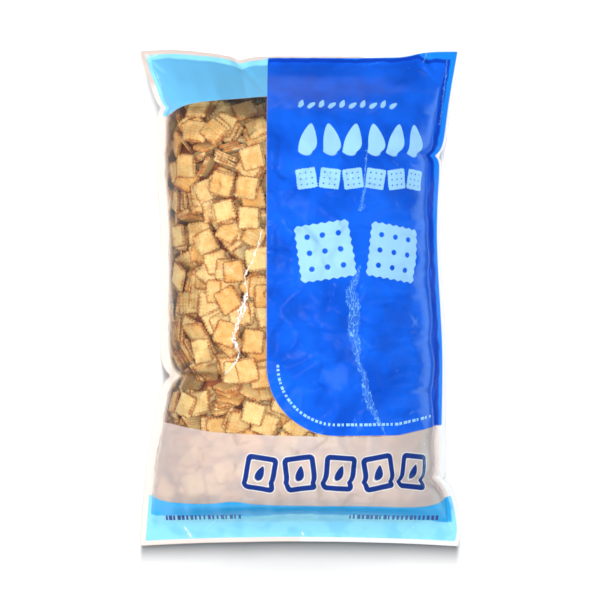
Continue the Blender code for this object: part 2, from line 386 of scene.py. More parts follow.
def body_share(across, along, y, from_side, from_end, half):
    """How full the body is here, from 0 at the seal line to 1 on the crown."""
    if min(from_side, from_end) <= 0:
        return 0.0
    sideways = (1 - (1 - from_side / half) ** SIDE_FULLNESS) ** SIDE_STEEPNESS
    from_top = (1 - along) * PACK_LENGTH - END_SEAL_WIDTH
    from_bottom = along * PACK_LENGTH - END_SEAL_WIDTH
    endways = curve_through(HEAD_RISE, from_top / MM) * curve_through(FOOT_RISE, from_bottom / MM)
    return sideways * endways * puckers(across, along, y, from_side, from_end)


def folded(x, y):
    """Depth of the small folds at a place, each deepest at its start and fading along its way."""
    depth = 0.0
    for (x0, y0), (dx, dy), deep, half_width, reach in FOLDS:
        ahead = (x / MM - x0) * dx + (y / MM - y0) * dy
        aside = (x / MM - x0) * dy - (y / MM - y0) * dx
        if -4 * half_width < ahead < 4 * reach and abs(aside) < 4 * half_width:
            fade = ease(1 + ahead / (2 * half_width)) if ahead < 0 else math.exp(-ahead / reach)
            depth += deep * fade * math.exp(-(aside / half_width) ** 2)
    return depth * MM


def flat_edge(across, y):
    """Width of the flat edge beside the body: the side seal and, on the right, film tucked flat beside it."""
    if across < 0.5:
        return SIDE_SEAL_WIDTH
    return SIDE_SEAL_WIDTH + RIGHT_TUCK + TUCK_WAVE * noise.noise(Vector((y / TUCK_PITCH, 3.0, SEAL_LAYER)))


def film_point(across, along, front, marks, drape_depth=0.0, gap=0.0):
    """Place of one film point, and its distances from the nearest side edge and end edge."""
    x, y, width = in_plan(across, along)
    rim = seal_height(across, along, x, y)
    from_side, from_end = min(across, 1 - across) * width, min(along, 1 - along) * PACK_LENGTH
    flat = flat_edge(across, y)
    fullness = body_share(across, along, y, from_side - flat, from_end - END_SEAL_WIDTH, width / 2 - flat)
    fold = folded(x, y) * clamp(min(from_side, from_end) / (6 * MM)) if drape_depth else 0.0
    if not front:
        sunk = ease(1 - clamp(BACK_FLATNESS * fullness))
        return Vector((x, y, (rim - 1.3 * fold) * sunk)), from_side, from_end
    swell = BULK_SWELL * noise.noise(Vector((x, y, BULK_LAYER)) / BULK_PITCH) + pressed(x, y, *marks)
    height = rim + (CROWN_HEIGHT + swell - rim) * fullness + gap * ease(min(from_side, from_end) / (3 * MM))
    if drape_depth:
        loose = clamp(fullness)
        outwards = 4 * loose * (1 - loose) * math.exp(-(from_side - flat) / OVERHANG_REACH)
        x += math.copysign(OVERHANG, across - 0.5) * outwards
        height += drape_depth * loose * (noise.noise(Vector((x, y, 2.0)) / (9 * MM))
                                         + 0.5 * noise.noise(Vector((x, y, 4.0)) / (4 * MM)))
        height -= fold
    return Vector((x, y, height)), from_side, from_end


def film_sheet(front, across_cells, along_cells, marks, drape_depth=0.0, gap=0.0):
    """A bmesh grid shaped as one sheet of film, with its distances from the cut edges on two layers."""
    mesh = bmesh.new()
    side, end = (mesh.verts.layers.float.new(name) for name in ("from_side", "from_end"))
    bmesh.ops.create_grid(mesh, x_segments=across_cells, y_segments=along_cells, size=0.5)
    for vertex in mesh.verts:
        across, along = vertex.co.x + 0.5, vertex.co.y + 0.5
        across -= 0.045 * math.sin(math.tau * across)
        vertex.co, vertex[side], vertex[end] = film_point(across, along, front, marks, drape_depth, gap)
    if not front:
        bmesh.ops.reverse_faces(mesh, faces=mesh.faces[:])
    return mesh


def curve_at(points, places):
    """The smooth curve's heights at many places."""
    table = np.arange(points[0][0], points[-1][0] + 1.0)
    return np.interp(places, table, [curve_through(points, at) for at in table])


def field_inside(x, y, left):
    """How far a place lies inside the main field, a sheet with one large round corner."""
    x_in, y_in = x - left, y - FIELD_BOTTOM - 7 * np.clip((x - 92) / 38, 0, 1)
    corner = FIELD_CORNER - np.hypot(np.minimum(x_in - FIELD_CORNER, 0), np.minimum(y_in - FIELD_CORNER, 0))
    return np.where((x_in < FIELD_CORNER) & (y_in < FIELD_CORNER), corner, np.minimum(x_in, y_in))


def rounded_box(x, y, cx, cy, half_x, half_y, radius, turn=0.0):
    """How far a place lies inside a box with round corners."""
    c, s = math.cos(turn), math.sin(turn)
    along, aside = (x - cx) * c + (y - cy) * s, (y - cy) * c - (x - cx) * s
    over_x, over_y = np.abs(along) - half_x + radius, np.abs(aside) - half_y + radius
    outside = np.hypot(np.maximum(over_x, 0), np.maximum(over_y, 0))
    return radius - outside - np.minimum(np.maximum(over_x, over_y), 0)


def seed_shape(x, y, cx, cy, length, turn):
    """How far a place lies inside a sesame seed, an oval that narrows to one end."""
    c, s = math.cos(turn), math.sin(turn)
    along, aside = (x - cx) * c + (y - cy) * s, (y - cy) * c - (x - cx) * s
    half_width = 0.25 * length * (1 - 0.45 * along / (length / 2))
    size = np.hypot(along / (length / 2), aside / np.maximum(half_width, 0.1))
    return (1 - size) * 0.3 * length


def cracker_shape(x, y, cx, cy, half, turn):
    """How far a place lies inside a toothed square with a grid of holes."""
    c, s = math.cos(turn), math.sin(turn)
    along, aside = (x - cx) * c + (y - cy) * s, (y - cy) * c - (x - cx) * s
    teeth = 0.035 * half * (np.cos(along * math.tau * 3.5 / half) + np.cos(aside * math.tau * 3.5 / half))
    body = rounded_box(x, y, cx, cy, half, half, 0.2 * half, turn) + teeth
    pitch = 0.56 * half
    hole_x = along - pitch * np.clip(np.round(along / pitch), -1, 1)
    hole_y = aside - pitch * np.clip(np.round(aside / pitch), -1, 1)
    return np.minimum(body, np.hypot(hole_x, hole_y) - 0.1 * half)


def pale_marks(x, y):
    """Light shapes on the main field: two rows of seeds, a row of small crackers and two large ones."""
    shapes = [seed_shape(x, y, 0.5 + 9.9 * k, 183.5 + 0.8 * (-1) ** k, 9.0, math.radians(60 - 24 * (k % 2)))
              for k in range(10)]
    shapes += [seed_shape(x, y, 8 + 21.4 * k, 149, 31.0, math.radians(80 + 20 * (k % 2))) for k in range(6)]
    shapes += [cracker_shape(x, y, 6 + 22.2 * k, 112, 9.6, math.radians(8 - 15 * (k % 2))) for k in range(6)]
    shapes += [cracker_shape(x, y, 24, 44, 27, math.radians(8)), cracker_shape(x, y, 92, 43, 26, math.radians(-9))]
    return np.max(shapes, axis=0)


def navy_marks(x, y):
    """Dark shapes on the frosted band: a row of outlined crackers, each with a seed in it."""
    shapes = []
    for k in range(5):
        cx, turn = -38 + 38.0 * k, math.radians((-9, 7, -4, 10, -7)[k])
        box = rounded_box(x, y, cx, -164, 15.5, 17, 5, turn)
        shapes += [np.minimum(box, 5.0 - box), seed_shape(x, y, cx, -164, 15, turn + math.radians(75))]
    return np.max(shapes, axis=0)


SMOOTHED_ROWS = 4


def small_lines(x, y, field):
    """For rows of small marks: how far along its row a place lies, and how far off it, in half heights."""
    corner_x, corner_y = FIELD_LEFT + FIELD_CORNER, FIELD_BOTTOM + FIELD_CORNER
    angle = np.arctan2(corner_x - x, corner_y - y)
    along = np.where(x > corner_x, x - corner_x, -angle * (FIELD_CORNER - ROW_INSET))
    off = np.maximum(np.abs(field - ROW_INSET) / 1.3, np.maximum(y - corner_y, x - 124))
    for left, right, height, slope in ((-128, -56, -211, 0.035), (48, 133, -208.5, -0.03)):
        row = np.maximum(np.abs(y - height - slope * (x - left)) / 2.6, np.maximum(left - x, x - right))
        along = np.where(row < off, x, along)
        off = np.minimum(off, row)
    return along, off


def creased(x, y):
    """How far a place lies outside the nearest crease's crumpled strip, and to one side of its middle line."""
    outside, off_line = np.full(x.shape, 99.0), np.full(x.shape, 99.0)
    for points in CREASES:
        for (x0, y0, half0), (x1, y1, half1) in zip(points, points[1:]):
            dx, dy = x1 - x0, y1 - y0
            t = np.clip(((x - x0) * dx + (y - y0) * dy) / (dx * dx + dy * dy), 0, 1)
            away = np.hypot(x - x0 - t * dx, y - y0 - t * dy)
            side = np.sign((x - x0) * dy - (y - y0) * dx)
            off_line = np.where(away < np.abs(off_line), away * side, off_line)
            outside = np.minimum(outside, away - half0 - t * (half1 - half0))
    return outside, off_line


def unrolled(places):
    """How far each point of a grid lies from the middle, measured along the film, evened out over nearby rows."""
    columns = int(np.argmax(np.diff(places[:, 0]) < 0)) + 1
    grid = places.reshape(-1, columns, 3)
    steps = np.linalg.norm(np.diff(grid, axis=1), axis=2)
    along = np.concatenate([np.zeros((len(grid), 1)), np.cumsum(steps, axis=1)], axis=1)
    middle = [np.interp(0.0, row[:, 0], reached) for row, reached in zip(grid, along)]
    along -= np.array(middle)[:, None]
    window = 2 * SMOOTHED_ROWS + 1
    for _ in range(3):
        padded = np.pad(along, ((SMOOTHED_ROWS + 1, SMOOTHED_ROWS), (0, 0)), mode="edge")
        sums = np.cumsum(padded, axis=0)
        along = (sums[window:] - sums[:-window]) / window
    return along.ravel()


def put_layer(data, name, values):
    layer = data.attributes.get(name) or data.attributes.new(name, "FLOAT", "POINT")
    layer.data.foreach_set("value", np.ascontiguousarray(values, np.float32))


def print_film(data, front):
    """Writes each ink's area on the film as a layer: how far inside it each point lies, in millimetres."""
    places = np.empty(len(data.vertices) * 3, np.float32)
    data.vertices.foreach_get("co", places)
    places = places.reshape(-1, 3) / MM
    x, y, _ = places.T
    from_side, from_end = np.empty(len(x), np.float32), np.empty(len(x), np.float32)
    data.attributes["from_side"].data.foreach_get("value", from_side)
    data.attributes["from_end"].data.foreach_get("value", from_end)
    side_inset = np.where(x < 0, LEFT_PRINT_INSET, np.interp(y, *zip(*RIGHT_PRINT_INSET)))
    end_inset = np.where(y > 0, np.interp(x, *zip(*TOP_PRINT_INSET)), BOTTOM_PRINT_INSET)
    inset = np.minimum(from_side / MM - side_inset, from_end / MM - end_inset)
    field = field_inside(x, y, FIELD_LEFT if front else BACK_FIELD_LEFT)
    frost = np.minimum(curve_at(FROST_TOP, x) - y, y - curve_at(FROST_BOTTOM, x))
    band = np.maximum(y - curve_at(TOP_BAND_EDGE, x), curve_at(FROST_BOTTOM, x) - y)
    put_layer(data, "field", np.minimum(field, inset))
    seal = from_side / MM - np.where(x < 0, SIDE_SEAL_WIDTH / MM, RIGHT_FROST_INSET)
    put_layer(data, "frost", np.minimum(np.minimum(frost, inset), seal))
    put_layer(data, "band", np.minimum(band, inset))
    from_top = from_end / MM
    on_field = np.maximum(FIELD_SEAL_SHOWN - from_top, np.minimum(END_SEAL_WIDTH / MM - from_top, x - FIELD_EAR - from_top))
    in_seal = np.where(x > FIELD_LEFT, on_field, END_SEAL_WIDTH / MM - from_top)
    in_end = np.where(y < 0, curve_at(SKIRT, x) - from_end / MM, in_seal)
    side_seal = np.where(x < 0, SIDE_SEAL_WIDTH / MM, RIGHT_FIN_SHOWN)
    put_layer(data, "fin", np.maximum(side_seal - from_side / MM, in_end))
    put_layer(data, "ear", np.minimum(y - 205.0, 60.0 - x))
    put_layer(data, "cut", np.minimum(from_side, from_end) / MM + np.where(x > 0, 0.4, 0.0))
    far = np.full(x.shape, -9.0)
    flat_x = unrolled(places)
    put_layer(data, "pale", pale_marks(flat_x, y) if front else far)
    put_layer(data, "navy", navy_marks(flat_x, y) if front else far)
    along, off = small_lines(x, y, field) if front else (x, 9.0 + far * 0)
    put_layer(data, "row_along", along)
    put_layer(data, "row_off", off)
    outside, off_line = creased(x, y) if front else (far * 0 + 99, far * 0 + 99)
    put_layer(data, "crease", outside)
    put_layer(data, "crease_line", off_line)


def add_piece(name, mesh, material):
    """Turns a bmesh into a finished piece. Film and contents together stand for the solid pouch."""
    data = bpy.data.meshes.new(name)
    mesh.to_mesh(data)
    mesh.free()
    data.materials.append(material)
    piece = bpy.data.objects.new(name, data)
    bpy.context.scene.collection.objects.link(piece)
    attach(piece, "root")
    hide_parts("cracker_pouch")
    return piece


def add_node(material, kind, values=(), **settings):
    """Adds a shader node. values pairs an input's name or number with a value or another node's output."""
    node = material.node_tree.nodes.new(kind)
    for name, value in settings.items():
        setattr(node, name, value)
    for key, value in values:
        if isinstance(value, bpy.types.NodeSocket):
            material.node_tree.links.new(value, node.inputs[key])
        else:
            node.inputs[key].default_value = value
    return node


def new_material(name):
    material = bpy.data.materials.new(name)
    material.use_nodes = True
    material.node_tree.nodes.clear()
    return material


def film_material(settings):
    """Oriented polypropylene film, reverse printed: clear and glossy, with flat fields of ink behind the gloss.

    The ink is flat and slightly see-through, the gloss lies over all of it, and creases turn white, partly with painted
    glints. Some colours are painted light and shade: lighter seals as painted backlight, a lighter right wall as
    painted sheen, a darker tuck and foot band as painted shade, and frost lighter beside the seals and towards the
    right as painted light.
    """
    material = new_material("printed_polypropylene_film")
    place = add_node(material, "ShaderNodeTexCoord").outputs["Object"]

    def layer(name):
        return add_node(material, "ShaderNodeAttribute", attribute_name=name).outputs["Fac"]

    def mask(name, soft=0.35):
        return add_node(material, "ShaderNodeMapRange",
                        [("Value", layer(name)), ("From Min", -soft), ("From Max", soft)]).outputs[0]

    def maths(operation, first, second, third=0.0):
        return add_node(material, "ShaderNodeMath", [(0, first), (1, second), (2, third)],
                        operation=operation).outputs[0]

    def mixed(factor, under, over):
        return add_node(material, "ShaderNodeMix", [(0, factor), (6, under), (7, over)],
                        data_type="RGBA").outputs[2]

    def dashes(pitch, length):
        """Marks of uneven length along a row, at this pitch in millimetres."""
        cell = maths("FLOOR", maths("DIVIDE", layer("row_along"), pitch), 0.0)
        step = maths("FRACT", maths("DIVIDE", layer("row_along"), pitch), 0.0)
        draw = add_node(material, "ShaderNodeTexWhiteNoise", [("W", cell)], noise_dimensions="1D").outputs["Value"]
        reach = maths("MULTIPLY_ADD", draw, 0.45, length)
        in_row = maths("LESS_THAN", layer("row_off"), 1.0)
        return maths("MULTIPLY", maths("LESS_THAN", step, reach), in_row)

    cloud = add_node(material, "ShaderNodeTexNoise", [("Vector", place), ("Scale", 1 / (16 * MM)), ("Detail", 1.0)])
    # Painted backlight: on the seals the inks are lighter and the clear film is whiter, standing in for light through
    # the seals from the floor
    fin = add_node(material, "ShaderNodeMapRange", [
        ("Value", maths("MULTIPLY_ADD", cloud.outputs[0], 4.0, layer("fin"))), ("From Min", 1.2),
        ("From Max", 2.8)]).outputs[0]
    field, frost, band = mask("field"), mask("frost"), mask("band")
    rows = dashes(4.2, 0.4)
    pale = maths("MAXIMUM", maths("MULTIPLY", mask("pale"), field), maths("MULTIPLY", rows, field))
    navy = maths("MAXIMUM", maths("MULTIPLY", mask("navy"), frost), maths("MULTIPLY", rows, band))
    cut = maths("SUBTRACT", 1.0, add_node(material, "ShaderNodeMapRange", [
        ("Value", layer("cut")), ("From Min", 0.3), ("From Max", 0.9)]).outputs[0])

    # Painted light: beside the seals the frost is lighter and the clear film whiter, standing in for light and
    # reflection on the steep walls
    painted_seam_light = add_node(material, "ShaderNodeMapRange", [
        ("Value", maths("MULTIPLY_ADD", cloud.outputs[0], 8.0, layer("fin"))), ("From Min", -1.0),
        ("From Max", 5.0)]).outputs[0]
    # Painted backlight on the end bands' seals, broken up by noise
    sealed = maths("MULTIPLY", fin, add_node(material, "ShaderNodeMapRange", [
        ("Value", cloud.outputs[0]), ("From Min", 0.35), ("From Max", 0.55), ("To Min", 0.75)]).outputs[0])
    axes = add_node(material, "ShaderNodeSeparateXYZ", [("Vector", place)])
    # Painted shade: the end band is darker over the lower half
    foot = maths("LESS_THAN", axes.outputs["Y"], 0.0)
    on_right = maths("GREATER_THAN", axes.outputs["X"], 0.0)
    mottle = add_node(material, "ShaderNodeTexNoise", [("Vector", place), ("Scale", 1 / (45 * MM)), ("Detail", 5.0)])
    thick = add_node(material, "ShaderNodeMapRange", [("Value", mottle.outputs[0]), ("From Min", 0.40),
                                                      ("From Max", 0.62)]).outputs[0]
    # Painted sheen: the field turns lighter across the right wall
    painted_sheen_right = add_node(material, "ShaderNodeMapRange", [
        ("Value", axes.outputs["X"]), ("From Min", 112 * MM), ("From Max", 124 * MM)]).outputs[0]
    thick = maths("MULTIPLY", thick, maths("SUBTRACT", 1.0, painted_sheen_right))
    on_field = mixed(thick, hex_colour(settings.field_thin_and_painted_sheen), hex_colour(settings.field))
    # Double film and painted shade: the field is darker in the tuck beside the right seal
    tucked = add_node(material, "ShaderNodeMapRange", [
        ("Value", maths("MULTIPLY_ADD", cloud.outputs[0], 4.0, layer("fin"))), ("From Min", -2.6),
        ("From Max", -1.4)]).outputs[0]
    on_field = mixed(maths("MULTIPLY", tucked, 0.85), on_field, hex_colour(settings.field_tuck_and_painted_shade))
    on_field = mixed(fin, on_field, hex_colour(settings.field_fin_painted_backlight))
    on_band = mixed(foot, hex_colour(settings.band), hex_colour(settings.band_foot_painted_shade))
    on_band = mixed(sealed, on_band, hex_colour(settings.band_fin_painted_backlight))
    on_frost = mixed(painted_seam_light, hex_colour(settings.frost), hex_colour(settings.frost_seam_painted_light))
    haze = mixed(on_right, hex_colour(settings.haze), hex_colour(settings.haze_right))
    haze = mixed(mask("ear", 3.0), haze, hex_colour(settings.haze_ear))
    ink = mixed(cut, haze, hex_colour(settings.cut))
    ink = mixed(band, ink, on_band)
    ink = mixed(frost, ink, on_frost)
    ink = mixed(field, ink, on_field)
    ink = mixed(pale, ink, hex_colour(settings.pale))
    halo = maths("MULTIPLY", add_node(material, "ShaderNodeMapRange", [
        ("Value", layer("navy")), ("From Min", -1.3), ("From Max", -0.8)]).outputs[0], frost)
    ink = mixed(halo, ink, (0.95, 0.95, 0.95, 1.0))
    ink = mixed(navy, ink, hex_colour(settings.navy))

    cover = maths("MULTIPLY_ADD", fin, 0.35, maths("MULTIPLY_ADD", painted_seam_light, 0.45, 0.02))
    cover = maths("MAXIMUM", cover, maths("MULTIPLY", cut, 0.6))
    cover = maths("MAXIMUM", cover, maths("MULTIPLY", band, 0.98))
    # Painted light: the frost's white cover grows towards the right, so that it reads lighter there and darker on the
    # left
    frost_painted_light_right = add_node(material, "ShaderNodeMapRange", [
        ("Value", axes.outputs["X"]), ("From Min", -110 * MM), ("From Max", 10 * MM), ("To Min", 0.60),
        ("To Max", 0.76)]).outputs[0]
    cover = maths("MAXIMUM", cover, maths("MULTIPLY", frost, maths("MULTIPLY_ADD", painted_seam_light, 0.22, frost_painted_light_right)))
    cover = maths("MAXIMUM", cover, maths("MULTIPLY", field, 0.997))
    cover = maths("MAXIMUM", cover, maths("MAXIMUM", pale, maths("MAXIMUM", navy, halo)))
    crumple = add_node(material, "ShaderNodeTexNoise", [("Vector", place), ("Scale", 1 / (4 * MM))])
    strip = maths("MULTIPLY_ADD", crumple.outputs[0], 7.0, maths("SUBTRACT", layer("crease"), 3.2))
    drawn = add_node(material, "ShaderNodeVectorMath", [(0, place), (1, (1.0, 0.32, 1.0))], operation="MULTIPLY")
    bent = add_node(material, "ShaderNodeVectorMath",
                    [(0, crumple.outputs["Color"]), (1, (1.6 * MM,) * 3), (2, drawn.outputs[0])],
                    operation="MULTIPLY_ADD").outputs[0]
    net = add_node(material, "ShaderNodeTexVoronoi", [("Vector", bent), ("Scale", 1 / (2.3 * MM))],
                   feature="DISTANCE_TO_EDGE").outputs["Distance"]
    line = add_node(material, "ShaderNodeMapRange", [("Value", net), ("From Min", 0.11), ("From Max", 0.03)]).outputs[0]
    breaks = add_node(material, "ShaderNodeTexNoise", [("Vector", bent), ("Scale", 1 / (1.6 * MM))])
    whole = add_node(material, "ShaderNodeMapRange",
                     [("Value", breaks.outputs[0]), ("From Min", 0.44), ("From Max", 0.56)]).outputs[0]
    near = add_node(material, "ShaderNodeMapRange", [("Value", strip), ("From Min", 0.9), ("From Max", 0.2)]).outputs[0]
    strength = maths("MULTIPLY_ADD", field, -0.3, 0.95)
    kept = maths("MAXIMUM", whole, maths("SUBTRACT", 1.0, field))
    veiled = maths("MULTIPLY_ADD", maths("MULTIPLY", line, kept), strength, 0.1)
    swerved = maths("ABSOLUTE", maths("MULTIPLY_ADD", crumple.outputs[0], 2.4,
                                      maths("SUBTRACT", layer("crease_line"), 1.2)), 0.0)
    ridge = maths("MULTIPLY", add_node(material, "ShaderNodeMapRange", [
        ("Value", swerved), ("From Min", 0.42), ("From Max", 0.12)]).outputs[0], add_node(
        material, "ShaderNodeMapRange", [("Value", layer("crease")), ("From Min", 1.2), ("From Max", 0.6)]).outputs[0])
    # Creases: stress-whitening and painted glints, white on clear film and light azure on the field
    white = maths("MAXIMUM", maths("MULTIPLY", near, veiled), maths("MULTIPLY", ridge, maths("MULTIPLY_ADD", field, -0.6, 0.95)))
    ink = mixed(white, ink, mixed(field, (0.95, 0.95, 0.95, 1.0), hex_colour("#86CCFF")))
    cover = maths("MAXIMUM", cover, white)

    ripple = add_node(material, "ShaderNodeTexNoise", [("Vector", place), ("Scale", 1 / (5 * MM)), ("Detail", 2.0)])
    bump = add_node(material, "ShaderNodeBump", [("Height", ripple.outputs[0]), ("Strength", 0.35),
                                                 ("Distance", 0.25 * MM)]).outputs[0]
    matt = add_node(material, "ShaderNodeBsdfDiffuse", [("Color", ink), ("Normal", bump)]).outputs[0]
    glow = add_node(material, "ShaderNodeBsdfTranslucent", [("Color", ink), ("Normal", bump)]).outputs[0]
    passing = maths("MULTIPLY_ADD", frost, 0.22, 0.18)
    inked = add_node(material, "ShaderNodeMixShader", [(0, passing), (1, matt), (2, glow)]).outputs[0]
    clear = add_node(material, "ShaderNodeBsdfTransparent").outputs[0]
    sheet = add_node(material, "ShaderNodeMixShader", [(0, cover), (1, clear), (2, inked)]).outputs[0]
    gloss = add_node(material, "ShaderNodeBsdfGlossy",
                     [("Color", (1.0, 1.0, 1.0, 1.0)), ("Roughness", 0.20), ("Normal", bump)]).outputs[0]
    facing = add_node(material, "ShaderNodeFresnel", [("IOR", 1.5), ("Normal", bump)]).outputs[0]
    surface = add_node(material, "ShaderNodeMixShader", [(0, facing), (1, sheet), (2, gloss)]).outputs[0]
    add_node(material, "ShaderNodeOutputMaterial", [("Surface", surface)])
    return material


def cracker_material(settings):
    """Baked wheat cracker with ground sesame: matt, palest in the middle of a face, brown at its toothed rim."""
    material = new_material("baked_sesame_cracker")
    place = add_node(material, "ShaderNodeUVMap", uv_map="face").outputs[0]
    bake = add_node(material, "ShaderNodeAttribute", attribute_name="bake").outputs["Fac"]
    solid = add_node(material, "ShaderNodeTexCoord").outputs["Object"]

    def maths(operation, first, second, third=0.0):
        return add_node(material, "ShaderNodeMath", [(0, first), (1, second), (2, third)],
                        operation=operation).outputs[0]

    def ramp(value, low, high, top=1.0):
        return add_node(material, "ShaderNodeMapRange",
                        [("Value", value), ("From Min", low), ("From Max", high), ("To Max", top)]).outputs[0]

    def mixed(factor, under, over):
        return add_node(material, "ShaderNodeMix", [(0, factor), (6, under), (7, over)],
                        data_type="RGBA").outputs[2]

    parts = add_node(material, "ShaderNodeSeparateXYZ", [("Vector", place)])
    across, along = maths("ABSOLUTE", parts.outputs[0], 0.0), maths("ABSOLUTE", parts.outputs[1], 0.0)
    on_side, sides = maths("MINIMUM", across, along), maths("MAXIMUM", across, along)
    notch = maths("COSINE", maths("MULTIPLY", on_side, math.tau * settings.ribs), 0.0)
    to_edge = maths("ADD", sides,
                    maths("MULTIPLY_ADD", notch, TOOTH_DEPTH / 2, TOOTH_DEPTH / 2))
    blotch = add_node(material, "ShaderNodeTexNoise", [("Vector", solid), ("Scale", 1 / (6 * MM)), ("Detail", 4.0)])
    grain = add_node(material, "ShaderNodeTexNoise", [("Vector", solid), ("Scale", 1 / (0.9 * MM)), ("Detail", 2.0)])
    speck = add_node(material, "ShaderNodeTexVoronoi", [("Vector", solid), ("Scale", 1 / (4.5 * MM))])
    wavy = maths("MULTIPLY_ADD", blotch.outputs[0], 0.12, parts.outputs[1])
    rib = maths("COSINE", maths("MULTIPLY", wavy, math.tau * settings.ribs), 0.0)
    browned = maths("MULTIPLY_ADD", blotch.outputs[0], 1.5, maths("MULTIPLY_ADD", bake, 0.9, -0.8))
    colour = mixed(ramp(browned, 0.12, 0.78), hex_colour(settings.face), hex_colour(settings.baked))
    colour = mixed(ramp(rib, -0.3, -1.0, 0.15), colour, hex_colour(settings.baked))
    rim = maths("MULTIPLY_ADD", blotch.outputs[0], 0.30, to_edge)
    colour = mixed(ramp(rim, 0.555, 0.665, 0.9), colour, hex_colour(settings.rim))
    colour = mixed(ramp(grain.outputs[0], 0.45, 0.75, 0.4), colour, hex_colour(settings.baked))
    colour = mixed(ramp(speck.outputs["Distance"], 0.14, 0.08, 0.6), colour, hex_colour("#8C5A2A"))
    puffed = maths("SUBTRACT", maths("MULTIPLY", rib, 0.20), maths("MULTIPLY", ramp(sides, 0.30, 0.50), 1.6))
    height = maths("ADD", maths("MULTIPLY_ADD", grain.outputs[0], 0.5, blotch.outputs[0]), puffed)
    bump = add_node(material, "ShaderNodeBump", [("Height", height), ("Strength", 0.9),
                                                 ("Distance", 0.8 * MM)]).outputs[0]
    shader = add_node(material, "ShaderNodeBsdfPrincipled",
                      [("Base Color", colour), ("Roughness", 0.62), ("IOR", 1.42), ("Normal", bump)])
    add_node(material, "ShaderNodeOutputMaterial", [("Surface", shader.outputs[0])])
    return material


def heart_material(settings):
    """The dim middle of the heap: the same cracker in painted shade, so dark brown and quite matt."""
    material = new_material("shaded_cracker_heap")
    solid = add_node(material, "ShaderNodeTexCoord").outputs["Object"]
    lump = add_node(material, "ShaderNodeTexVoronoi", [("Vector", solid), ("Scale", 1 / (12 * MM))])
    shade = add_node(material, "ShaderNodeMapRange", [("Value", lump.outputs["Distance"]), ("From Min", 0.25),
                                                      ("From Max", 0.6)]).outputs[0]
    colour = add_node(material, "ShaderNodeMix", [(0, shade), (6, hex_colour(settings.rim)),
                                                  (7, hex_colour(settings.heart_painted_shade))], data_type="RGBA").outputs[2]
    shader = add_node(material, "ShaderNodeBsdfPrincipled", [("Base Color", colour), ("Roughness", 0.9)])
    add_node(material, "ShaderNodeOutputMaterial", [("Surface", shader.outputs[0])])
    return material


def floor_material():
    """White opal acrylic table: even and matt."""
    material = new_material("white_opal_acrylic")
    solid = add_node(material, "ShaderNodeTexCoord").outputs["Object"]
    grain = add_node(material, "ShaderNodeTexNoise", [("Vector", solid), ("Scale", 1 / (2 * MM))])
    bump = add_node(material, "ShaderNodeBump", [("Height", grain.outputs[0]), ("Strength", 0.05),
                                                 ("Distance", 0.1 * MM)]).outputs[0]
    shader = add_node(material, "ShaderNodeBsdfPrincipled",
                      [("Base Color", (0.42, 0.42, 0.42, 1.0)), ("Roughness", 0.9), ("Normal", bump)])
    add_node(material, "ShaderNodeOutputMaterial", [("Surface", shader.outputs[0])])
    return material


def one_cracker(side, thickness, ribs):
    """A square cracker with ribbed faces and a toothed rim, lying flat round the origin, as a mesh with UVs."""
    mesh = bmesh.new()
    steps = 2 * ribs
    bmesh.ops.create_circle(mesh, cap_ends=True, segments=4 * steps, radius=side / 2)
    outline, underside = mesh.verts[:], mesh.faces[:]
    for index, vertex in enumerate(outline):
        quarter, step = divmod(index, steps)
        along, out = (step / steps - 0.5) * side, side / 2 - TOOTH_DEPTH * side * (index % 2)
        if step == 0:
            along, out = along + CORNER_CUT * side, out - CORNER_CUT * side
        vertex.co = Matrix.Rotation(quarter * math.pi / 2, 3, "Z") @ Vector((along, -out, 0.0))
    made = bmesh.ops.extrude_face_region(mesh, geom=underside)["geom"]
    ring = [item for item in made if isinstance(item, bmesh.types.BMVert)]
    bmesh.ops.delete(mesh, geom=underside, context="FACES_ONLY")
    flat_share = 1 - 2 * RIM_SLOPE / side
    bmesh.ops.scale(mesh, verts=ring, vec=(flat_share, flat_share, 1.0))
    bmesh.ops.translate(mesh, verts=ring, vec=(0.0, 0.0, thickness / 2))
    for step in range(1, steps):
        bmesh.ops.connect_verts(mesh, verts=[ring[step], ring[3 * steps - step]])
    for step in range(steps + 1):
        for vertex in (ring[step], ring[(3 * steps - step) % (4 * steps)]):
            vertex.co.z += RIB_HEIGHT * thickness * (-1) ** step
    plain = [ring[quarter * steps + step] for quarter in (1, 3) for step in range(1, steps)]
    spokes = [edge for vertex in plain for edge in vertex.link_edges if edge.other_vert(vertex) in outline]
    bmesh.ops.dissolve_edges(mesh, edges=spokes, use_verts=False)
    bmesh.ops.dissolve_verts(mesh, verts=plain)
    bmesh.ops.mirror(mesh, geom=mesh.verts[:] + mesh.edges[:] + mesh.faces[:], merge_dist=1e-6, axis="Z")
    bmesh.ops.remove_doubles(mesh, verts=mesh.verts[:], dist=1e-6)
    bmesh.ops.recalc_face_normals(mesh, faces=mesh.faces[:])
    face = mesh.loops.layers.uv.new("face")
    for loop in (loop for part in mesh.faces for loop in part.loops):
        loop[face].uv = loop.vert.co.xy / side
    data = bpy.data.meshes.new("cracker")
    mesh.to_mesh(data)
    mesh.free()
    data.attributes.new("bake", "FLOAT", "POINT")
    return data


# The simulated heap
HEAP_SCALE = 100.0
HEAP_GRAVITY = 98.0
CONTACT_MARGIN = 0.2 * MM
WALL_INSET = 1.3 * MM
SHAFT_LENGTH = 0.9
LOOSE_START = 50 * MM
LOOSE_PITCH = 1.3
ROUGH = 0.7
SPIN_LOSS = 0.5
CLUMPS = (1, 1, 1, 1, 2, 3)
SLIDE, TILT, FAN = 1.6 * MM, math.radians(3), math.radians(12)
SHAKE_START = 30
SHAKE = [(-1.0, 0.0)] * 10
WARP = 1.7 * MM
ROUNDING, TAPER = 0.22, 0.08
HEART_MARGIN, HEART_INSET = 4 * MM, 9 * MM
HEART_SEED = 17
FILM_CLEARANCE = 0.8 * MM

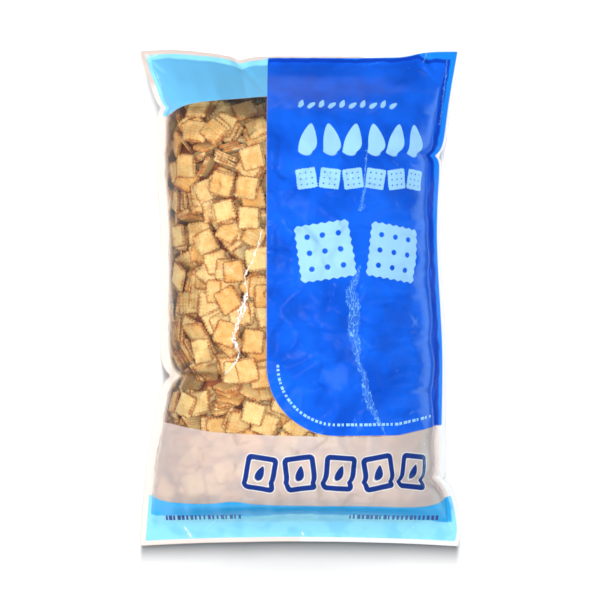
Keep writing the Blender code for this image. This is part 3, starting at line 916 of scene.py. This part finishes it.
# One cracker, its last three values as shares of side or thickness
RIM_SLOPE = 1.2 * MM
TOOTH_DEPTH, CORNER_CUT, RIB_HEIGHT = 0.045, 0.06, 0.02


def add_body(mesh, kind, shape):
    """Adds a bmesh to the simulation, which is sized up so that small crackers collide exactly."""
    bmesh.ops.scale(mesh, verts=mesh.verts, vec=(HEAP_SCALE,) * 3)
    data = bpy.data.meshes.new("heap")
    mesh.to_mesh(data)
    mesh.free()
    body = bpy.data.objects.new("heap", data)
    bpy.context.scene.rigidbody_world.collection.objects.link(body)
    bpy.context.view_layer.objects.active = body
    bpy.ops.rigidbody.object_add(type=kind)
    contact = body.rigid_body
    contact.collision_shape = shape
    contact.use_margin = True
    contact.collision_margin = CONTACT_MARGIN * HEAP_SCALE
    contact.friction = ROUGH
    contact.restitution = 0.0
    contact.linear_damping = 0.1
    contact.angular_damping = SPIN_LOSS
    return body


def box_mesh(size):
    mesh = bmesh.new()
    bmesh.ops.create_cube(mesh, size=1.0)
    bmesh.ops.scale(mesh, verts=mesh.verts, vec=size)
    return mesh


def film_wall(front, marks, drape_depth):
    """The inside of one sheet of film for the crackers to fall against, its seals drawn out into a shaft."""
    mesh = film_sheet(front, 50, 78, marks, drape_depth)
    mesh.normal_update()
    side, end = (mesh.verts.layers.float[name] for name in ("from_side", "from_end"))
    for vertex in mesh.verts:
        vertex.co -= vertex.normal * WALL_INSET
        if vertex[side] < SIDE_SEAL_WIDTH - WALL_INSET or vertex[end] < END_SEAL_WIDTH - WALL_INSET:
            vertex.co.z -= SHAFT_LENGTH if front else -SHAFT_LENGTH
    return mesh


def stacked(columns, pitch, rng):
    """Places of loose crackers in uneven layers over each area, the first layer at height 0."""
    for (left, right, low, high), count in columns:
        wide, long = max(int((right - left) / pitch), 1), max(int((high - low) / pitch), 1)
        for number in range(count):
            layer, cell = divmod(number, wide * long)
            if cell == 0:
                shift = rng.uniform(-0.5, 0.5), rng.uniform(-0.5, 0.5)
            x = left + (cell % wide + 0.5 + shift[0]) * (right - left) / wide
            y = low + (cell // wide + 0.5 + shift[1]) * (high - low) / long
            yield Vector((clamp(x, left, right), clamp(y, low, high), (layer + rng.uniform(0.0, 0.2)) * pitch))


def fanned(clump, number, thickness, rng):
    """Places of the crackers in a clump, which have slid and turned a little against each other."""
    for level in range(number):
        slid = Vector((rng.gauss(0, SLIDE), rng.gauss(0, SLIDE), (level - (number - 1) / 2) * thickness))
        turned = Euler((rng.gauss(0, TILT), rng.gauss(0, TILT), rng.gauss(0, FAN)))
        loosened = number > 1
        local = Matrix.LocRotScale(slid, turned, None) if loosened else Matrix()
        matrix = clump @ Matrix.Scale(HEAP_SCALE, 4) @ local
        yield Matrix.LocRotScale(matrix.translation / HEAP_SCALE, matrix.to_quaternion(), None)


def settle(front, marks, blocks, columns, settings, frames):
    """Drops crackers against one sheet of film, and returns where each comes to rest.

    blocks are lowest and highest corners of boxes that stay empty. columns are areas over which crackers are
    dropped, as left, right, low and high, each with its number of crackers.
    """
    scene = bpy.context.scene
    bpy.ops.rigidbody.world_add()
    world = scene.rigidbody_world
    world.collection = bpy.data.collections.new("heap")
    scene.collection.children.link(world.collection)
    world.substeps_per_frame = 8
    world.solver_iterations = 10
    world.point_cache.frame_end = frames
    up = 1.0 if front else -1.0
    scene.gravity = (0.0, 0.0, up * HEAP_GRAVITY)
    add_body(film_wall(front, marks, scene.pouch_film.drape_depth), "PASSIVE", "MESH")
    for low, high in blocks:
        low, high = Vector(low), Vector(high)
        add_body(box_mesh(high - low), "PASSIVE", "BOX").location = (low + high) / 2 * HEAP_SCALE

    rng = random.Random(settings.heap_seed)
    models = {number: add_body(box_mesh((settings.side, settings.side, number * settings.thickness)), "ACTIVE", "BOX")
              for number in set(CLUMPS)}
    loose = []
    for place in stacked(columns, LOOSE_PITCH * settings.side, rng):
        number = rng.choice(CLUMPS)
        body = models[number].copy()
        place.z = LOOSE_START - up * place.z
        body.location = place * HEAP_SCALE
        body.rotation_euler = [rng.uniform(0, math.tau) for _ in range(3)]
        loose.append((body, number))
    for model in models.values():
        bpy.data.objects.remove(model)
    for number in range(1, frames + 1):
        shaken = SHAKE_START <= number < SHAKE_START + len(SHAKE)
        sideways = SHAKE[number - SHAKE_START] if shaken else (0.0, 0.0)
        scene.gravity = (sideways[0] * HEAP_GRAVITY, sideways[1] * HEAP_GRAVITY, up * HEAP_GRAVITY)
        scene.frame_set(number)
    rest = [matrix for body, number in loose for matrix in fanned(body.matrix_world, number, settings.thickness, rng)]

    heap = world.collection
    bpy.ops.rigidbody.world_remove()
    for body in heap.objects[:]:
        bpy.data.objects.remove(body)
    bpy.data.collections.remove(heap)
    scene.frame_set(1)
    return rest


def film_tree(front, marks, drape_depth):
    mesh = film_sheet(front, 120, 170, marks, drape_depth)
    mesh.normal_update()
    tree = BVHTree.FromBMesh(mesh)
    mesh.free()
    return tree


def depth_in(tree, matrix):
    """How far inside the film the middle of a cracker lies, below 0 where it is outside."""
    place, normal, _, distance = tree.find_nearest(matrix.translation)
    return math.copysign(distance, (place - matrix.translation).dot(normal))


def kept_inside(tree, place, settings):
    """The place of a cracker, moved inwards where one of its corners would cross the film."""
    half = Vector((settings.side, settings.side, settings.thickness)) / 2
    for signs in itertools.product((-1, 1), repeat=3):
        corner = place @ Vector([sign * size for sign, size in zip(signs, half)])
        spot, normal, _, _ = tree.find_nearest(corner)
        outside = (corner - spot).dot(normal) + FILM_CLEARANCE
        if outside > 0:
            place = Matrix.Translation(-normal * outside) @ place
    return place


def add_crackers(name, places, settings, material, seed):
    """Joins one slightly warped cracker at each place into one piece."""
    rng = random.Random(seed)
    model = one_cracker(settings.side, settings.thickness, settings.ribs)
    flat = np.empty(len(model.vertices) * 3, np.float32)
    model.vertices.foreach_get("co", flat)
    flat = flat.reshape(-1, 3)
    u, v = flat[:, 0] / settings.side, flat[:, 1] / settings.side
    heap = bmesh.new()
    for place in places:
        curl, twist, cup, taper, skew = (rng.uniform(-1, 1) for _ in range(5))
        size = [rng.uniform(0.9, 1.05), rng.uniform(0.9, 1.05), rng.uniform(0.9, 1.12)]
        warped = flat * np.array(size)
        warped[:, 0] *= 1 - ROUNDING * v * v + TAPER * taper * v
        warped[:, 1] *= 1 - ROUNDING * u * u + TAPER * skew * u
        warped[:, 2] += WARP * (curl * (u * u - v * v) + twist * u * v + cup * (u * u + v * v))
        turned = np.array(place)
        warped = warped @ turned[:3, :3].T + turned[:3, 3]
        model.vertices.foreach_set("co", np.ascontiguousarray(warped, np.float32).ravel())
        put_layer(model, "bake", np.full(len(flat), rng.betavariate(2.2, 2.6)))
        heap.from_mesh(model)
    bpy.data.meshes.remove(model)
    return add_piece(name, heap, material)


class POUCH_OT_film(bpy.types.Operator):
    """Adds the front and back sheets of printed film, sealed to each other all round"""
    bl_idname = "pouch.film"
    bl_label = "Film"

    def execute(self, context):
        settings = context.scene.pouch_film
        marks = press_marks()
        material = film_material(settings)
        share = 1.0
        for name, front, fineness in (("film_front", True, 1.0), ("film_back", False, 0.5)):
            mesh = film_sheet(front, int(settings.cells_across * fineness * share),
                              int(settings.cells_along * fineness * share), marks,
                              settings.drape_depth, settings.seal_gap)
            piece = add_piece(name, mesh, material)
            print_film(piece.data, front)
            piece.data.shade_smooth()
        return {"FINISHED"}


class POUCH_OT_crackers(bpy.types.Operator):
    """Settles loose crackers against the inside of both sheets and keeps those near the film"""
    bl_idname = "pouch.crackers"
    bl_label = "Crackers"

    def execute(self, context):
        settings = context.scene.pouch_crackers
        marks = press_marks()
        material = cracker_material(settings)
        frames = 56
        front = settle(True, marks, [((0.010, -0.116, -1.0), (0.2, 0.3, 0.2)), ((-0.2, 0.193, -1.0), (0.2, 0.3, 0.2)),
                                     ((-0.2, -0.3, -1.0), (0.2, -0.212, 0.2))],
                       [((-0.110, -0.006, -0.194, 0.180), 860), ((0.026, 0.112, -0.194, -0.132), 80)],
                       settings, frames)
        back = settle(False, marks, [((-0.070, -0.3, -0.1), (0.2, 0.3, 1.0)), ((-0.2, 0.19, -0.1), (0.2, 0.3, 1.0)),
                                     ((-0.2, -0.3, -0.1), (0.2, -0.206, 1.0))],
                      [((-0.108, -0.087, -0.188, 0.172), 140)], settings, frames)
        sheets = [film_tree(front_side, marks, context.scene.pouch_film.drape_depth) for front_side in (True, False)]
        shown = [place for place in front if 0 < depth_in(sheets[0], place) < settings.shown_depth]
        under = [place for place in back if 0 < depth_in(sheets[1], place) < settings.shown_depth
                 and all((place.translation - other.translation).length > 0.6 * settings.side for other in shown)]
        for name, places, seed in (("crackers_front", shown, 11), ("crackers_back", under, 12)):
            for sheet in sheets:
                places = [kept_inside(sheet, place, settings) for place in places]
            add_crackers(name, places, settings, material, seed)
        return {"FINISHED"}


class POUCH_OT_heart(bpy.types.Operator):
    """Adds the next layer of the heap, which closes the gaps behind the crackers that show"""
    bl_idname = "pouch.heart"
    bl_label = "Heart of the heap"

    def execute(self, context):
        settings = context.scene.pouch_crackers
        marks = press_marks()
        mesh, below = film_sheet(True, 60, 90, marks), film_sheet(False, 60, 90, marks)
        mesh.normal_update()
        side, end = (mesh.verts.layers.float[name] for name in ("from_side", "from_end"))
        seals = [v for v in mesh.verts
                 if v[side] < SIDE_SEAL_WIDTH + HEART_MARGIN or v[end] < END_SEAL_WIDTH + HEART_MARGIN]
        noise.seed_set(HEART_SEED)
        for vertex, opposite in zip(mesh.verts, below.verts):
            depth = min(settings.heart_depth, 0.5 * (vertex.co.z - opposite.co.z))
            inset = min(HEART_INSET, depth)
            vertex.co -= vertex.normal * Vector((inset, inset, depth))
            vertex.co += 0.1 * depth * noise.noise_vector(vertex.co / (9 * MM))
        below.free()
        bmesh.ops.delete(mesh, geom=seals, context="VERTS")
        piece = add_piece("heap_heart", mesh, heart_material(settings))
        piece.data.shade_smooth()
        return {"FINISHED"}


class POUCH_OT_stage(bpy.types.Operator):
    """Adds the white floor, the soft lights and the camera that looks straight down"""
    bl_idname = "pouch.stage"
    bl_label = "Stage"

    def execute(self, context):
        settings = context.scene.pouch_stage
        scene = context.scene
        mesh = bmesh.new()
        bmesh.ops.create_grid(mesh, x_segments=1, y_segments=1, size=4.0)
        data = bpy.data.meshes.new("floor")
        mesh.to_mesh(data)
        mesh.free()
        data.materials.append(floor_material())
        floor = bpy.data.objects.new("floor", data)
        scene.collection.objects.link(floor)
        floor.visible_glossy = False

        backdrop = bpy.data.collections.new("backdrop")
        all_else = bpy.data.collections.new("all_but_backdrop")
        for group in (backdrop, all_else):
            group.objects.link(floor)
        all_else.collection_objects[0].light_linking.link_state = "EXCLUDE"
        for name, place, size, power, lit in (
            ("front_left", (-0.25, -0.05, 2.1), (0.5, 0.5), 0.87 * settings.front_power, "diffuse"),
            ("front_right", (0.25, -0.05, 2.1), (0.5, 0.5), 1.25 * settings.front_power, "diffuse"),
            ("side_left", (-3.8, 0.0, 1.9), (1.4, 2.8), settings.side_power, "diffuse"),
            ("floor_strip", (0.0, 3.4, 7.9), (0.8, 5.4), settings.strip_power, "floor"),
            ("floor_left", (-1.3, 0.3, 1.2), (0.3, 0.5), settings.fill_power, "floor"),
            ("floor_right", (1.3, 0.3, 1.2), (0.3, 0.5), settings.fill_power, "floor"),
            ("sheen", (1.6, 0.1, 0.55), (0.8, 2.4), settings.sheen_power, "glossy"),
            ("spark", (-0.9, 0.9, 1.2), (0.3, 0.3), settings.spark_power, "glossy"),
        ):
            lamp = bpy.data.lights.new(name, "AREA")
            lamp.shape, lamp.size, lamp.size_y, lamp.energy = "RECTANGLE", *size, power
            light = bpy.data.objects.new(name, lamp)
            light.location = place
            target = Vector((0, 0, 0.05))
            if name in ("floor_left", "floor_right"):
                target = Vector((math.copysign(0.17, place[0]), 0.17, 0.0))
                lamp.spread = math.radians(16)
            light.rotation_euler = (target - Vector(place)).to_track_quat("-Z", "Y").to_euler()
            light.visible_glossy = lit == "glossy"
            light.visible_diffuse = lit != "glossy"
            light.light_linking.receiver_collection = backdrop if lit == "floor" else all_else
            if lit == "glossy":
                lamp.color = hex_colour(settings.sheen_tint)[:3]
            scene.collection.objects.link(light)

        world = bpy.data.worlds.new("studio")
        world.use_nodes = True
        world.node_tree.nodes.clear()
        way = add_node(world, "ShaderNodeTexCoord").outputs["Generated"]
        axes = add_node(world, "ShaderNodeSeparateXYZ", [("Vector", way)])
        height = axes.outputs["Z"]
        above = add_node(world, "ShaderNodeMapRange", [("Value", height), ("From Min", 0.00), ("From Max", -0.15),
                                                       ("To Min", 0.04), ("To Max", settings.walls)]).outputs[0]
        below = add_node(world, "ShaderNodeMapRange", [("Value", height), ("From Min", -0.50), ("From Max", -0.40)])
        beside = add_node(world, "ShaderNodeMapRange", [("Value", axes.outputs["X"]), ("From Min", 0.5), ("From Max", 0.8),
                                                        ("To Min", 0.35)])
        other_side = add_node(world, "ShaderNodeMapRange", [("Value", axes.outputs["X"]), ("From Min", -0.1),
                                                            ("From Max", -0.4), ("To Max", 0.5)])
        level = add_node(world, "ShaderNodeMath", [(0, below.outputs[0]), (1, beside.outputs[0])], operation="MULTIPLY")
        level = add_node(world, "ShaderNodeMath", [(0, level.outputs[0]), (1, other_side.outputs[0])],
                         operation="MAXIMUM")
        mirrored = add_node(world, "ShaderNodeMath", [(0, level.outputs[0]), (1, above)], operation="MULTIPLY")
        path = add_node(world, "ShaderNodeLightPath")
        strength = add_node(world, "ShaderNodeMix", [(0, path.outputs["Is Glossy Ray"]), (2, settings.sky),
                                                     (3, mirrored.outputs[0])])
        backdrop_level = add_node(world, "ShaderNodeMapRange", [("Value", height), ("From Max", 0.25),
                                                                ("To Min", settings.horizon)])
        strength = add_node(world, "ShaderNodeMix", [(0, path.outputs["Is Camera Ray"]), (2, strength.outputs[0]),
                                                     (3, backdrop_level.outputs[0])])
        right = add_node(world, "ShaderNodeMath", [(0, axes.outputs["X"]), (1, 0.3)], operation="GREATER_THAN")
        tinted = add_node(world, "ShaderNodeMath", [(0, right.outputs[0]), (1, path.outputs["Is Glossy Ray"])],
                          operation="MULTIPLY")
        colour = add_node(world, "ShaderNodeMix", [(0, tinted.outputs[0]), (6, (1.0, 1.0, 1.0, 1.0)),
                                                   (7, hex_colour(settings.sheen_tint))], data_type="RGBA")
        light = add_node(world, "ShaderNodeBackground", [("Color", colour.outputs[2]),
                                                         ("Strength", strength.outputs[0])])
        add_node(world, "ShaderNodeOutputWorld", [("Surface", light.outputs[0])])
        scene.world = world
        scene.view_settings.view_transform = "Standard"

        lens = bpy.data.cameras.new("camera")
        lens.sensor_width = 36.0
        lens.lens = lens.sensor_width * settings.distance / settings.seen_width
        camera = bpy.data.objects.new("camera", lens)
        camera.location = (0.0, settings.seen_middle, SIDE_SEAL_HEIGHT + settings.distance)
        scene.collection.objects.link(camera)
        scene.camera = camera
        return {"FINISHED"}


class POUCH_PT_panel(bpy.types.Panel):
    bl_label = "Cracker pouch"
    bl_idname = "POUCH_PT_panel"
    bl_space_type = "VIEW_3D"
    bl_region_type = "UI"
    bl_category = "Pouch"

    def draw(self, context):
        for group in (context.scene.pouch_film, context.scene.pouch_crackers, context.scene.pouch_stage):
            for name in group.__annotations__:
                self.layout.prop(group, name)
        for operator in OPERATORS:
            self.layout.operator(operator.bl_idname)


OPERATORS = (POUCH_OT_film, POUCH_OT_crackers, POUCH_OT_heart, POUCH_OT_stage)
CLASSES = (FilmSettings, CrackerSettings, StageSettings) + OPERATORS + (POUCH_PT_panel,)


def register():
    for cls in CLASSES:
        bpy.utils.register_class(cls)
    bpy.types.Scene.pouch_film = PointerProperty(type=FilmSettings)
    bpy.types.Scene.pouch_crackers = PointerProperty(type=CrackerSettings)
    bpy.types.Scene.pouch_stage = PointerProperty(type=StageSettings)


def unregister():
    del bpy.types.Scene.pouch_film, bpy.types.Scene.pouch_crackers, bpy.types.Scene.pouch_stage
    for cls in reversed(CLASSES):
        bpy.utils.unregister_class(cls)


def main():
    register()
    bpy.ops.pouch.stage()
    bpy.ops.pouch.film()
    bpy.ops.pouch.heart()
    bpy.ops.pouch.crackers()


if __name__ == "__main__":
    main()
